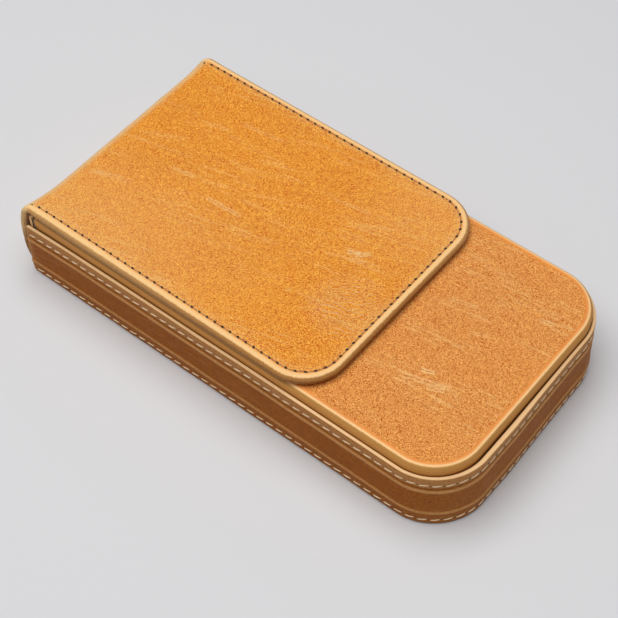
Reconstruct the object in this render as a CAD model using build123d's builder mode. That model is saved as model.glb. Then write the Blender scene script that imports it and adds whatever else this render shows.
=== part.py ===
"""Hard leather pen case: a sleeve with a sliding pen tray, closed by a folding flap.

The case lies on its back. X runs from the mouth, where the tray slides out, to the
closed end. Y runs across the case and Z up. The origin is the centre of the sleeve's
footprint on the table. All sizes are in millimetres.
"""
import math
import os

from build123d import *

os.makedirs("parts", exist_ok=True)

# Sleeve
case_length = 189.0
case_width = 100.0
corner_radius = 20.0
mouth_x = -case_length / 2
closed_x = case_length / 2
half_width = case_width / 2

# Side band: one leather strip round both sides and the closed end
band_bottom = 0.4
band_top = 28.2
band_inner_inset = 1.2
lower_crease_z = 7.0
upper_crease_z = 21.5
crease_depth = 0.45
crease_half_width = 0.6
band_edge_lean = 0.2
band_edge_height = 2.0
band_end_x = mouth_x + 0.3
band_lower_corner = 5.0
band_upper_corner = 1.5

# Levels of the layers, from the table up
back_leather_top = 1.8
back_board_top = 3.6
back_lining_top = 4.2
front_lining_bottom = 27.2
front_board_bottom = 27.8
front_board_top = 30.0
front_field_z = 32.2
front_rim_z = 32.5
flange_bottom = 21.0
back_flange_top = 4.1
back_lining_setback = 0.6

# Insets of the layers from the outline, from the outside in
panel_inset = 1.3
flange_thickness = 1.5
layer_gap = 0.1
core_outer_inset = panel_inset + flange_thickness + layer_gap
core_inner_inset = 6.0
lining_gap = 0.05
lining_inset = core_inner_inset + lining_gap
wall_lining_inset = 6.6
front_rim_width = 3.6
front_rim_round = 2.0
back_edge_round = 1.2
field_bevel = 50

# Front of the tray, which stands between the two cheeks of the band
front_plate_x = mouth_x + 1.1
front_plate_thickness = 3.1
seam_gap = 0.3
cheek_gap = 0.3
plate_back_x = front_plate_x + front_plate_thickness
sleeve_start_x = plate_back_x + seam_gap
front_plate_half = half_width - band_inner_inset - cheek_gap
front_plate_bottom = 4.5
front_plate_top = 32.0
plate_leather = 1.0
plate_lining = 0.5
plate_top_round = 2.3
plate_edge_round = 0.8

# Tray
tray_gap = 0.4
tray_half = half_width - wall_lining_inset - tray_gap
tray_end_x = closed_x - wall_lining_inset - tray_gap
tray_corner = corner_radius - wall_lining_inset - tray_gap
tray_bottom = 4.5
tray_base_top = 6.0
rail_top = 18.0
rail_thickness = 1.6
rail_round = 0.6

# Pen bed
slot_count = 5
slot_pitch = 16.5
groove_radius = 8.2
groove_floor = 7.6
bed_top = 13.0
bed_side_gap = 0.1
bed_front_gap = 0.3
bed_start_x = plate_back_x + bed_front_gap
bed_end_wall = 4.0
divider_thickness = 1.2
divider_top = 21.5
divider_start_x = mouth_x + 16.0
divider_end_x = closed_x - 18.0
divider_corner = 6.0

# Flap: one cover that comes round the mouth from the back
flap_half = half_width - 0.6
flap_front_x = mouth_x + 134.4
flap_start_x = mouth_x + 6.5
flap_corner = 16.9
flap_bottom = 32.9
flap_lining_top = 33.9
flap_board_top = 34.9
flap_top = 36.5
flap_field_depth = 0.3
flap_rim_width = 4.2
flap_rim_round = 1.6
flap_under_round = 0.8
flap_board_inset = 6.0

# Spine of the flap, which stands bowed in front of the mouth
spine_bulge = 3.4
bow_radius = 58.0
bow_mid_z = 15.5
lower_fold_radius = 3.0
upper_fold_radius = 6.5
spine_leather_depth = 1.6
spine_total_depth = 2.2
spine_edge_round = 1.2

# Magnets under the front panel and in the flap
magnet_radius = 5.0
magnet_x = flap_front_x - 11.0
magnet_y = 27.0
case_magnet_thickness = 1.5
flap_magnet_thickness = 0.8
magnet_pocket_gap = 0.1

# Pull tab on the tray's face
tab_width = 16.0
tab_thickness = 1.0
tab_bottom = 8.0
tab_top = 24.0
tab_round = 7.0

# How far a cutting shape runs past the piece that it cuts
overcut = 1.0


def panel(inset, start_x):
    """Outline of the sleeve, inset, with its two round corners at the closed end."""
    length = closed_x - inset - start_x
    with Locations((start_x, 0)):
        Rectangle(length, 2 * (half_width - inset), align=(Align.MIN, Align.CENTER))
    fillet(vertices().group_by(Axis.X)[-1], radius=corner_radius - inset)


def flap_panel(inset, start_x):
    """Outline of the flap, inset, with its two round corners at the front."""
    length = flap_front_x - inset - start_x
    with Locations((start_x, 0)):
        Rectangle(length, 2 * (flap_half - inset), align=(Align.MIN, Align.CENTER))
    fillet(vertices().group_by(Axis.X)[-1], radius=flap_corner - inset)


def sleeve_path(start_x):
    """The way round the sleeve: near side, closed end and far side."""
    with BuildLine() as path:
        FilletPolyline(
            (start_x, -half_width),
            (closed_x, -half_width),
            (closed_x, half_width),
            (start_x, half_width),
            radius=corner_radius,
        )
    return path.wire()


def wall_section_plane(start_x):
    """Plane across the near wall: local X is the inset and local Y the height."""
    return Plane(origin=(start_x, -half_width, 0), x_dir=(0, 1, 0), z_dir=(1, 0, 0))


def save(part, name):
    """Label a finished piece and write it."""
    part.label = name
    export_step(part, f"parts/{name}.step")


# Side band, creased twice along its length, with its ends rounded at the mouth
band_outer = [
    (band_edge_lean, band_bottom),
    (0.0, band_bottom + band_edge_height),
    (0.0, lower_crease_z - crease_half_width),
    (crease_depth, lower_crease_z),
    (0.0, lower_crease_z + crease_half_width),
    (0.0, upper_crease_z - crease_half_width),
    (crease_depth, upper_crease_z),
    (0.0, upper_crease_z + crease_half_width),
    (0.0, band_top - band_edge_height),
    (band_edge_lean, band_top),
]
band_inner = [(band_inner_inset, band_top), (band_inner_inset, band_bottom)]
with BuildPart() as side_band:
    with BuildSketch(wall_section_plane(band_end_x)):
        with BuildLine():
            Polyline(*band_outer, *band_inner, close=True)
        make_face()
    sweep(path=sleeve_path(band_end_x))
    with BuildSketch(Plane.XZ):
        with Locations((band_end_x, band_bottom)):
            Rectangle(
                case_length + overcut,
                band_top - band_bottom,
                align=(Align.MIN, Align.MIN),
            )
        fillet(
            vertices().group_by(Axis.Y)[0].sort_by(Axis.X)[0],
            radius=band_lower_corner,
        )
        fillet(
            vertices().group_by(Axis.Y)[-1].sort_by(Axis.X)[0],
            radius=band_upper_corner,
        )
    extrude(amount=half_width + overcut, both=True, mode=Mode.INTERSECT)
save(side_band.part, "side_band")

# Back panel: leather moulded to a shallow pan, flanged up inside the band
lower_fold_z = lower_fold_radius
bow_centre_x = mouth_x - spine_bulge + bow_radius
lower_lean = math.asin((bow_mid_z - lower_fold_z) / (bow_radius - lower_fold_radius))
lower_fold_x = bow_centre_x - (bow_radius - lower_fold_radius) * math.cos(lower_lean)
with BuildPart() as back_cover:
    with BuildSketch():
        panel(panel_inset, lower_fold_x)
    extrude(amount=back_flange_top)
    fillet(
        back_cover.faces().sort_by(Axis.Z)[0].edges().sort_by(Axis.X)[1:],
        radius=back_edge_round,
    )
    with BuildSketch(Plane.XY.offset(back_leather_top)):
        panel(panel_inset + flange_thickness, lower_fold_x - overcut)
    extrude(amount=back_flange_top, mode=Mode.SUBTRACT)
    with BuildSketch(Plane.XY.offset(back_leather_top)):
        with Locations((lower_fold_x - overcut, 0)):
            Rectangle(
                sleeve_start_x - lower_fold_x + overcut,
                case_width,
                align=(Align.MIN, Align.CENTER),
            )
    extrude(amount=back_flange_top, mode=Mode.SUBTRACT)
save(back_cover.part, "back_cover")

with BuildPart() as back_board:
    with BuildSketch(Plane.XY.offset(back_leather_top)):
        panel(core_outer_inset, lower_fold_x + layer_gap)
    extrude(amount=back_board_top - back_leather_top)
save(back_board.part, "back_board")

with BuildPart() as back_lining:
    with BuildSketch(Plane.XY.offset(back_board_top)):
        panel(lining_inset, lower_fold_x + back_lining_setback)
    extrude(amount=back_lining_top - back_board_top)
save(back_lining.part, "back_lining")

# Front panel: a moulded pan with a round proud rim, flanged down inside the band
with BuildPart() as front_cover:
    with BuildSketch(Plane.XY.offset(flange_bottom)):
        panel(panel_inset, sleeve_start_x)
    extrude(amount=front_rim_z - flange_bottom)
    fillet(
        front_cover.faces().sort_by(Axis.Z)[-1].edges().sort_by(Axis.X)[1:],
        radius=front_rim_round,
    )
    with BuildSketch(Plane.XY.offset(front_rim_z)):
        panel(panel_inset + front_rim_width, sleeve_start_x - overcut)
    extrude(amount=front_field_z - front_rim_z, taper=-field_bevel, mode=Mode.SUBTRACT)
    with BuildSketch(Plane.XY.offset(flange_bottom)):
        panel(panel_inset + flange_thickness, sleeve_start_x - overcut)
    extrude(amount=front_board_top - flange_bottom, mode=Mode.SUBTRACT)
save(front_cover.part, "front_cover")

magnet_places = [(magnet_x, -magnet_y), (magnet_x, magnet_y)]
with BuildPart() as front_board:
    with BuildSketch(Plane.XY.offset(front_board_bottom)):
        panel(core_outer_inset, sleeve_start_x)
    extrude(amount=front_board_top - front_board_bottom)
    with BuildSketch(Plane.XY.offset(front_board_top)):
        with Locations(*magnet_places):
            Circle(magnet_radius + magnet_pocket_gap)
    extrude(amount=-case_magnet_thickness, mode=Mode.SUBTRACT)
save(front_board.part, "front_board")

with BuildPart() as case_magnets:
    with BuildSketch(Plane.XY.offset(front_board_top - case_magnet_thickness)):
        with Locations(*magnet_places):
            Circle(magnet_radius)
    extrude(amount=case_magnet_thickness)
save(case_magnets.part, "case_magnets")

with BuildPart() as front_lining:
    with BuildSketch(Plane.XY.offset(front_lining_bottom)):
        panel(lining_inset, sleeve_start_x)
    extrude(amount=front_board_bottom - front_lining_bottom)
save(front_lining.part, "front_lining")

# Wall cores: stiff board behind the band, stepped round the two flanges
core_bevel = 1.0
core_section = [
    (core_inner_inset, back_board_top),
    (core_inner_inset, front_board_bottom),
    (core_outer_inset, front_board_bottom),
    (core_outer_inset, flange_bottom - layer_gap),
    (band_inner_inset + layer_gap, flange_bottom - core_bevel),
    (band_inner_inset + layer_gap, back_flange_top + core_bevel),
    (core_outer_inset, back_flange_top + layer_gap),
    (core_outer_inset, back_board_top),
]
side_core_end = closed_x - corner_radius
core_turn_trim = 0.01
core_turn_radius = corner_radius - core_turn_trim
for name, side in (("near_wall_core", 1), ("far_wall_core", -1)):
    with BuildPart() as wall_core:
        with BuildSketch(wall_section_plane(sleeve_start_x)):
            with BuildLine():
                Polyline(*core_section, close=True)
            make_face()
        extrude(amount=side_core_end - sleeve_start_x)
        if side < 0:
            mirror(about=Plane.XZ, mode=Mode.REPLACE)
    save(wall_core.part, name)

with BuildPart() as end_wall_core:
    with BuildSketch(wall_section_plane(side_core_end)):
        with BuildLine():
            Polyline(*core_section, close=True)
        make_face()
    with BuildLine() as end_path:
        FilletPolyline(
            (side_core_end, -half_width),
            (closed_x, -half_width),
            (closed_x, half_width),
            (side_core_end, half_width),
            radius=core_turn_radius,
        )
    sweep(path=end_path.wire())
save(end_wall_core.part, "end_wall_core")

with BuildPart() as wall_lining:
    with BuildSketch(Plane.XY.offset(back_lining_top)):
        panel(lining_inset, sleeve_start_x)
    extrude(amount=front_lining_bottom - back_lining_top)
    with BuildSketch(Plane.XY.offset(back_lining_top)):
        panel(wall_lining_inset, sleeve_start_x - overcut)
    extrude(amount=front_lining_bottom - back_lining_top, mode=Mode.SUBTRACT)
save(wall_lining.part, "wall_lining")

# Tray front: a board in a leather cup, with a lining behind it
plate_height = front_plate_top - front_plate_bottom
plate_mid_z = (front_plate_top + front_plate_bottom) / 2
with BuildPart() as tray_front_leather:
    with BuildSketch(Plane.YZ.offset(front_plate_x)):
        with Locations((0, plate_mid_z)):
            Rectangle(2 * front_plate_half, plate_height)
    extrude(amount=front_plate_thickness - plate_lining)
    face_edges = tray_front_leather.faces().sort_by(Axis.X)[0].edges().sort_by(Axis.Z)
    fillet(face_edges[-1], radius=plate_top_round)
    lower_edges = tray_front_leather.faces().sort_by(Axis.X)[0].edges().sort_by(Axis.Z)
    fillet(lower_edges[:-1], radius=plate_edge_round)
    with BuildSketch(Plane.YZ.offset(front_plate_x + plate_leather)):
        with Locations((0, plate_mid_z)):
            Rectangle(
                2 * (front_plate_half - plate_leather),
                plate_height - 2 * plate_leather,
            )
    extrude(amount=front_plate_thickness, mode=Mode.SUBTRACT)
save(tray_front_leather.part, "tray_front_leather")

with BuildPart() as tray_front_board:
    with BuildSketch(Plane.YZ.offset(front_plate_x + plate_leather)):
        with Locations((0, plate_mid_z)):
            Rectangle(
                2 * (front_plate_half - plate_leather),
                plate_height - 2 * plate_leather,
            )
    extrude(amount=front_plate_thickness - plate_leather - plate_lining)
save(tray_front_board.part, "tray_front_board")

with BuildPart() as tray_front_lining:
    with BuildSketch(Plane.YZ.offset(plate_back_x - plate_lining)):
        with Locations((0, plate_mid_z)):
            RectangleRounded(2 * front_plate_half, plate_height, plate_edge_round)
    extrude(amount=plate_lining)
save(tray_front_lining.part, "tray_front_lining")

with BuildPart() as tray_pull_tab:
    with BuildSketch(Plane.YZ.offset(front_plate_x)):
        with Locations((0, (tab_bottom + tab_top) / 2)):
            Rectangle(tab_width, tab_top - tab_bottom)
        fillet(vertices().group_by(Axis.Y)[0], radius=tab_round)
    extrude(amount=-tab_thickness)
save(tray_pull_tab.part, "tray_pull_tab")


def tray_panel(inset, start_x):
    """Outline of the tray, inset, round at the closed end like the sleeve's inside."""
    length = tray_end_x - inset - start_x
    with Locations((start_x, 0)):
        Rectangle(length, 2 * (tray_half - inset), align=(Align.MIN, Align.CENTER))
    fillet(vertices().group_by(Axis.X)[-1], radius=tray_corner - inset)


with BuildPart() as tray_base:
    with BuildSketch(Plane.XY.offset(tray_bottom)):
        tray_panel(0, plate_back_x)
    extrude(amount=tray_base_top - tray_bottom)
save(tray_base.part, "tray_base")

rail_end_x = tray_end_x - tray_corner
for name, side in (("tray_near_rail", -1), ("tray_far_rail", 1)):
    with BuildPart() as rail:
        with BuildSketch(Plane.XY.offset(tray_base_top)):
            with Locations((plate_back_x, side * (tray_half - rail_thickness / 2))):
                Rectangle(
                    rail_end_x - plate_back_x,
                    rail_thickness,
                    align=(Align.MIN, Align.CENTER),
                )
        extrude(amount=rail_top - tray_base_top)
        rail_top_edges = rail.faces().sort_by(Axis.Z)[-1].edges().filter_by(Axis.X)
        fillet(rail_top_edges, radius=rail_round)
    save(rail.part, name)

with BuildPart() as tray_end_wall:
    with BuildSketch(Plane.XY.offset(tray_base_top)):
        tray_panel(0, rail_end_x)
    extrude(amount=rail_top - tray_base_top)
    with BuildSketch(Plane.XY.offset(tray_base_top)):
        tray_panel(rail_thickness, rail_end_x - overcut)
    extrude(amount=rail_top - tray_base_top, mode=Mode.SUBTRACT)
save(tray_end_wall.part, "tray_end_wall")

# Pen bed: padded, with a round channel for each pen
slot_ys = [(n - (slot_count - 1) / 2) * slot_pitch for n in range(slot_count)]
bed_inset = rail_thickness + bed_side_gap
with BuildPart() as pen_bed:
    with BuildSketch(Plane.XY.offset(tray_base_top)):
        tray_panel(bed_inset, bed_start_x)
    extrude(amount=bed_top - tray_base_top)
    groove_axis_z = groove_floor + groove_radius
    with BuildSketch(Plane.YZ.offset(bed_start_x - overcut)):
        with Locations(*[(y, groove_axis_z) for y in slot_ys]):
            Circle(groove_radius)
    extrude(amount=tray_end_x - bed_start_x - bed_end_wall, mode=Mode.SUBTRACT)
save(pen_bed.part, "pen_bed")

# Dividers: soft fins that stand on the ridges between the channels
with BuildPart() as slot_dividers:
    for low_y, high_y in zip(slot_ys, slot_ys[1:]):
        ridge_y = (low_y + high_y) / 2
        with BuildSketch(Plane.XZ.offset(-ridge_y)):
            with Locations((divider_start_x, bed_top)):
                Rectangle(
                    divider_end_x - divider_start_x,
                    divider_top - bed_top,
                    align=(Align.MIN, Align.MIN),
                )
            fillet(vertices().group_by(Axis.Y)[-1], radius=divider_corner)
        extrude(amount=divider_thickness / 2, both=True)
save(slot_dividers.part, "slot_dividers")

# Spine: leather and lining, bowed outward between the lower and the upper fold
upper_lean = math.asin(
    (flap_top - upper_fold_radius - bow_mid_z) / (bow_radius - upper_fold_radius)
)
upper_fold_x = bow_centre_x - (bow_radius - upper_fold_radius) * math.cos(upper_lean)
upper_fold_z = flap_top - upper_fold_radius
depth_tolerance = 0.1
lower_degrees = math.degrees(lower_lean)
upper_degrees = math.degrees(upper_lean)


def spine_line(depth):
    """The spine's run at a depth under its outer face, from the back to the flap."""
    lower = CenterArc(
        (lower_fold_x, lower_fold_z),
        lower_fold_radius - depth,
        180 + lower_degrees,
        90 - lower_degrees,
    )
    CenterArc(
        (bow_centre_x, bow_mid_z),
        bow_radius - depth,
        180 - upper_degrees,
        upper_degrees + lower_degrees,
    )
    CenterArc(
        (upper_fold_x, upper_fold_z),
        upper_fold_radius - depth,
        90,
        90 - upper_degrees,
    )
    flap_end = (flap_start_x, flap_top - depth)
    Line((upper_fold_x, flap_top - depth), flap_end)
    return (lower_fold_x, depth), flap_end


def spine_depth(point):
    """How deep a point of the spine lies under its outer face."""
    if point.Z > upper_fold_z and point.X > upper_fold_x:
        return flap_top - point.Z
    if point.Z > upper_fold_z:
        return upper_fold_radius - math.hypot(
            point.X - upper_fold_x, point.Z - upper_fold_z
        )
    if point.Z < lower_fold_z:
        return lower_fold_radius - math.hypot(
            point.X - lower_fold_x, point.Z - lower_fold_z
        )
    return bow_radius - math.hypot(point.X - bow_centre_x, point.Z - bow_mid_z)


for name, outer_depth, inner_depth in (
    ("spine_leather", 0.0, spine_leather_depth),
    ("spine_lining", spine_leather_depth, spine_total_depth),
):
    with BuildPart() as spine_layer:
        with BuildSketch(Plane.XZ):
            with BuildLine():
                outer_start, outer_end = spine_line(outer_depth)
                inner_start, inner_end = spine_line(inner_depth)
                Line(outer_start, inner_start)
                Line(outer_end, inner_end)
            make_face()
        extrude(amount=flap_half, both=True)
        if outer_depth == 0.0:
            side_faces = spine_layer.faces().filter_by(Axis.Y)
            outer_lines = [
                edge
                for edge in side_faces.edges()
                if spine_depth(edge @ 0.5) < depth_tolerance
            ]
            fillet(outer_lines, radius=spine_edge_round)
    save(spine_layer.part, name)

# Flap: leather with a thick round rim, over a board and a lining
with BuildPart() as flap_leather:
    with BuildSketch(Plane.XY.offset(flap_lining_top)):
        flap_panel(0, flap_start_x)
    extrude(amount=flap_top - flap_lining_top)
    fillet(
        flap_leather.faces().sort_by(Axis.Z)[-1].edges().sort_by(Axis.X)[1:],
        radius=flap_rim_round,
    )
    with BuildSketch(Plane.XY.offset(flap_top)):
        flap_panel(flap_rim_width, flap_start_x)
    extrude(amount=-flap_field_depth, taper=-field_bevel, mode=Mode.SUBTRACT)
    with BuildSketch(Plane.XY.offset(flap_lining_top)):
        flap_panel(flap_board_inset, flap_start_x - 1)
    extrude(amount=flap_board_top - flap_lining_top, mode=Mode.SUBTRACT)
save(flap_leather.part, "flap_leather")

with BuildPart() as flap_board:
    with BuildSketch(Plane.XY.offset(flap_lining_top)):
        flap_panel(flap_board_inset, flap_start_x)
    extrude(amount=flap_board_top - flap_lining_top)
    with BuildSketch(Plane.XY.offset(flap_lining_top)):
        with Locations(*magnet_places):
            Circle(magnet_radius + magnet_pocket_gap)
    extrude(amount=flap_magnet_thickness, mode=Mode.SUBTRACT)
save(flap_board.part, "flap_board")

with BuildPart() as flap_magnets:
    with BuildSketch(Plane.XY.offset(flap_lining_top)):
        with Locations(*magnet_places):
            Circle(magnet_radius)
    extrude(amount=flap_magnet_thickness)
save(flap_magnets.part, "flap_magnets")

with BuildPart() as flap_lining:
    with BuildSketch(Plane.XY.offset(flap_bottom)):
        flap_panel(0, flap_start_x)
    extrude(amount=flap_lining_top - flap_bottom)
    fillet(
        flap_lining.faces().sort_by(Axis.Z)[0].edges().sort_by(Axis.X)[1:],
        radius=flap_under_round,
    )
save(flap_lining.part, "flap_lining")
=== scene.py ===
"""The looks of the leather pen case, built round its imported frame.

Metres everywhere. X runs from the mouth to the closed end, Y across, Z up. Leather sheets
are made flat, as run (along the strip), across and height over the outer face, and then
bent into place, so each point keeps its flat place in millimetres for the grain.
"""
import functools
import math

import bmesh
import bpy
import numpy as np
from mathutils import Matrix, Vector, noise


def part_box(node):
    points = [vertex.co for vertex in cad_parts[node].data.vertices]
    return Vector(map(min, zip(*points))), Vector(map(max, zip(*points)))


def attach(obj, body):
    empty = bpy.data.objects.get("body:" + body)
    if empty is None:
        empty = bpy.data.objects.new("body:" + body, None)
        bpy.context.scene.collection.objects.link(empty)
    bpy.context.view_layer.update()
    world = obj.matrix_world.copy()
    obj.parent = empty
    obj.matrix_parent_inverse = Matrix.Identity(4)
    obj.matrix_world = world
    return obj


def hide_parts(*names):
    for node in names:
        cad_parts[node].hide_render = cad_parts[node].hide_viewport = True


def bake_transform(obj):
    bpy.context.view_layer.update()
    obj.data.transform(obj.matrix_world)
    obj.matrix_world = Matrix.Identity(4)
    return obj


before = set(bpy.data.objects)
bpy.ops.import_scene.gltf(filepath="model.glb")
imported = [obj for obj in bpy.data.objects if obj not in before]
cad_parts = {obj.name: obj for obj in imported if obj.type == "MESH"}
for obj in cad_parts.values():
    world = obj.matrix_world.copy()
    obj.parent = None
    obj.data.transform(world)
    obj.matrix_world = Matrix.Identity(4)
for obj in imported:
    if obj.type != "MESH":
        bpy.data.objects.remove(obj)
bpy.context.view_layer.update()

MM = 0.001

# Places read from the frame
band_low, band_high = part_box("side_band")
flap_low, flap_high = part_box("flap_leather")
lining_low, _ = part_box("flap_lining")
spine_low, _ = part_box("spine_leather")
front_low, front_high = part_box("front_cover")
_, back_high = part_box("back_cover")
plate_low, plate_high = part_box("tray_front_leather")
plate_lining_low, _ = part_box("tray_front_lining")
bed_low, bed_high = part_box("pen_bed")
tab_low, tab_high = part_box("tray_pull_tab")
divider_low, divider_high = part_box("slot_dividers")

closed_x = band_high.x
half_width = band_high.y
sleeve_corner = 20.0 * MM
mouth_x = flap_low.x - 6.5 * MM

# Flap and spine, repeated from the solids' own sizes
flap_half = flap_high.y
flap_top = flap_high.z
flap_front = flap_high.x
flap_corner = 16.9 * MM
flap_thickness = flap_high.z - lining_low.z
spine_thickness = 2.2 * MM
bow_radius = 58.0 * MM
bow_mid_z = 15.5 * MM
upper_fold_radius = 6.5 * MM
lower_fold_radius = 3.0 * MM
bow_centre_x = spine_low.x + bow_radius

# Stitching
flap_stitch_pitch = 3.45 * MM
near_seam_inset = 3.65 * MM
front_seam_inset = 3.2 * MM
far_seam_inset = 2.9 * MM
flap_seam_start = mouth_x + 2.6 * MM
band_stitch_pitch = 4.3 * MM
band_stitch_length = 3.5 * MM
band_upper_seam_z = 24.0 * MM
band_lower_seam_z = 2.7 * MM
flap_thread_radius = 0.2 * MM
flap_thread_dip = 0.26 * MM
flap_hole_size = (0.76 * MM, 0.5 * MM)
flap_hole_rise = 0.2 * MM
band_thread_radius = 0.25 * MM
band_thread_dip = 0.2 * MM
band_hole_size = (0.42 * MM, 0.26 * MM)
band_hole_rise = 0.05 * MM

# How far the grain of a sheet is moved from the flap's, in mm, so that no two look the same
back_grain_shift = (400.0, 0, 0)
front_grain_shift = (0, 0, 70.0)
band_grain_shift = (0, 500.0, 0)

# Unevenness: the spine's near end stands off, its face is drawn in, and the band sags
spine_flare = 1.0 * MM
spine_drawn_in = 1.4 * MM
mouth_sag = 1.5 * MM
mouth_sag_reach = 25 * MM
long_sag = 0.35 * MM

# The photograph's camera: where it stands, what it looks at, its turn and its lens
camera_place = Vector((0.24066, -0.27874, 0.48266))
camera_target = Vector((-0.00232, -0.001, 0.0))
camera_roll = math.radians(-2.56)
camera_lens_mm = 96.56
camera_sensor_mm = 36.0


def srgb(r, g, b):
    """A colour as an eye names it, 0 to 255, turned into the linear values of a shader."""
    linear = []
    for value in (r, g, b):
        v = value / 255
        linear.append(v / 12.92 if v <= 0.04045 else ((v + 0.055) / 1.055) ** 2.4)
    return (*linear, 1.0)


def eased(value, low, high):
    """0 below low, 1 above high, and smooth between them."""
    t = np.clip((value - low) / (high - low), 0, 1)
    return t * t * (3 - 2 * t)


# Shader nodes


class Shader:
    """A material and short names for the nodes that it is built from."""

    def __init__(self, name):
        self.material = bpy.data.materials.new(name)
        self.material.use_nodes = True
        self.tree = self.material.node_tree
        self.surface = self.tree.nodes["Principled BSDF"]

    def node(self, kind, inputs=None, **settings):
        """A new node with its settings and its inputs."""
        made = self.tree.nodes.new(kind)
        for key, value in settings.items():
            setattr(made, key, value)
        for key, value in (inputs or {}).items():
            self.feed(made.inputs[key], value)
        return made

    def feed(self, socket, value):
        """Links a socket to another node's output, or sets its constant value."""
        if isinstance(value, bpy.types.NodeSocket):
            self.tree.links.new(value, socket)
        else:
            socket.default_value = value

    def look(self, values):
        """Sets the surface's inputs by name, and returns the finished material."""
        for name, value in values.items():
            self.feed(self.surface.inputs[name], value)
        return self.material

    def attribute(self, name):
        """A value that the mesh carries at each point."""
        return self.node("ShaderNodeAttribute", attribute_name=name).outputs["Fac"]

    def flat_place(self):
        """The point's place on the flat leather, in millimetres."""
        return self.node("ShaderNodeAttribute", attribute_name="flat_mm").outputs["Vector"]

    def solid_place(self):
        """The point's place in the piece's own space, in millimetres."""
        place = self.node("ShaderNodeTexCoord").outputs["Object"]
        return self.mapped(place, scale=(1000, 1000, 1000))

    def mapped(self, vector, scale=(1, 1, 1), turn=0.0, shift=(0, 0, 0)):
        """The vector turned and moved, and after that scaled."""
        placing = {"Vector": vector, "Rotation": (0, 0, turn), "Location": shift}
        turned = self.node("ShaderNodeMapping", placing).outputs["Vector"]
        sizing = {"Vector": turned, "Scale": scale}
        return self.node("ShaderNodeMapping", sizing).outputs["Vector"]

    def noise(self, vector, size, detail=3.0, rough=0.5, warp=0.0):
        """Cloudy noise of a size in the vector's units, 0 to 1."""
        inputs = {"Vector": vector, "Scale": 1 / size, "Detail": detail}
        inputs.update({"Roughness": rough, "Distortion": warp})
        return self.node("ShaderNodeTexNoise", inputs).outputs["Fac"]

    def cells(self, vector, size):
        """Distance to the middle of rounded cells of a size in the vector's units."""
        inputs = {"Vector": vector, "Scale": 1 / size}
        return self.node("ShaderNodeTexVoronoi", inputs, feature="SMOOTH_F1").outputs["Distance"]

    def maths(self, operation, a, b=0.0, clamp=False):
        """One sum of two values."""
        settings = {"operation": operation, "use_clamp": clamp}
        return self.node("ShaderNodeMath", {0: a, 1: b}, **settings).outputs[0]

    def product(self, *values):
        """All the values multiplied."""
        return functools.reduce(lambda a, b: self.maths("MULTIPLY", a, b), values)

    def total(self, *values):
        """All the values added."""
        return functools.reduce(lambda a, b: self.maths("ADD", a, b), values)

    def vector_maths(self, operation, a, b, output="Vector"):
        """One sum of two vectors."""
        made = self.node("ShaderNodeVectorMath", {0: a, 1: b}, operation=operation)
        return made.outputs[output]

    def ramp(self, value, low, high, to_low=0.0, to_high=1.0):
        """A smooth step from to_low at low to to_high at high."""
        inputs = {"Value": value, "From Min": low, "From Max": high}
        inputs.update({"To Min": to_low, "To Max": to_high})
        made = self.node("ShaderNodeMapRange", inputs, interpolation_type="SMOOTHSTEP")
        return made.outputs["Result"]

    def mix(self, share, a, b):
        """Colour a, with a share of colour b mixed in."""
        share_in, a_in, b_in, colour_out = 0, 6, 7, 2
        inputs = {share_in: share, a_in: a, b_in: b}
        return self.node("ShaderNodeMix", inputs, data_type="RGBA").outputs[colour_out]

    def stops(self, value, stops):
        """Colour and share from a list of (value, colour, share), blended between them."""
        reach = stops[-1][0]
        made = self.node("ShaderNodeValToRGB", {"Fac": self.maths("DIVIDE", value, reach)})
        elements = made.color_ramp.elements
        while len(elements) < len(stops):
            elements.new(1.0)
        for element, (place, colour, share) in zip(elements, stops):
            element.position = place / reach
            element.color = (*colour[:3], share)
        return made.outputs["Color"], made.outputs["Alpha"]

    def bump(self, height, distance_mm, under=None):
        """A normal raised by a height, on top of another normal if one is given."""
        inputs = {"Distance": distance_mm * MM, "Height": height}
        if under is not None:
            inputs["Normal"] = under
        return self.node("ShaderNodeBump", inputs).outputs["Normal"]

    def scratch(self, place, start, end, width):
        """1 along a thin line between two places on the flat leather, 0 away from it."""
        span = Vector(end) - Vector(start)
        turn = -math.atan2(span.y, span.x)
        level = Matrix.Rotation(turn, 2)
        first = level @ Vector(start)
        here = self.mapped(place, turn=turn, shift=(-first.x, -first.y, 0))
        along, across, _ = self.node("ShaderNodeSeparateXYZ", {0: here}).outputs
        wander = self.product(self.noise(here, 2.5), 2.4 * width)
        across = self.maths("ABSOLUTE", self.total(across, wander))
        across = self.maths("ABSOLUTE", self.maths("SUBTRACT", across, 1.2 * width))
        line = self.ramp(across, width * 0.3, width, 1.0, 0.0)
        begin = self.ramp(along, 0.0, span.length * 0.2)
        finish = self.ramp(along, span.length * 0.8, span.length, 1.0, 0.0)
        return self.product(line, begin, finish)

    def creases(self, place, warped, centre, middle, reach, spacing):
        """1 along fine wrinkles on arcs round a centre, within reach of a middle place."""
        flat = self.vector_maths("MULTIPLY", warped, (1.0, 1.0, 0.0))
        away = self.vector_maths("DISTANCE", flat, (*centre, 0.0), output="Value")
        bend = self.product(self.noise(place, 9.0, detail=1.0), 9.0)
        phase = self.product(self.total(away, bend), 2 * math.pi / spacing)
        wave = self.total(self.product(self.maths("SINE", phase), 0.5), 0.5)
        far = self.vector_maths("DISTANCE", flat, (*middle, 0.0), output="Value")
        here = self.ramp(far, reach * 0.45, reach, 1.0, 0.0)
        return self.product(self.ramp(wave, 0.5, 0.95), here)


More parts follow.
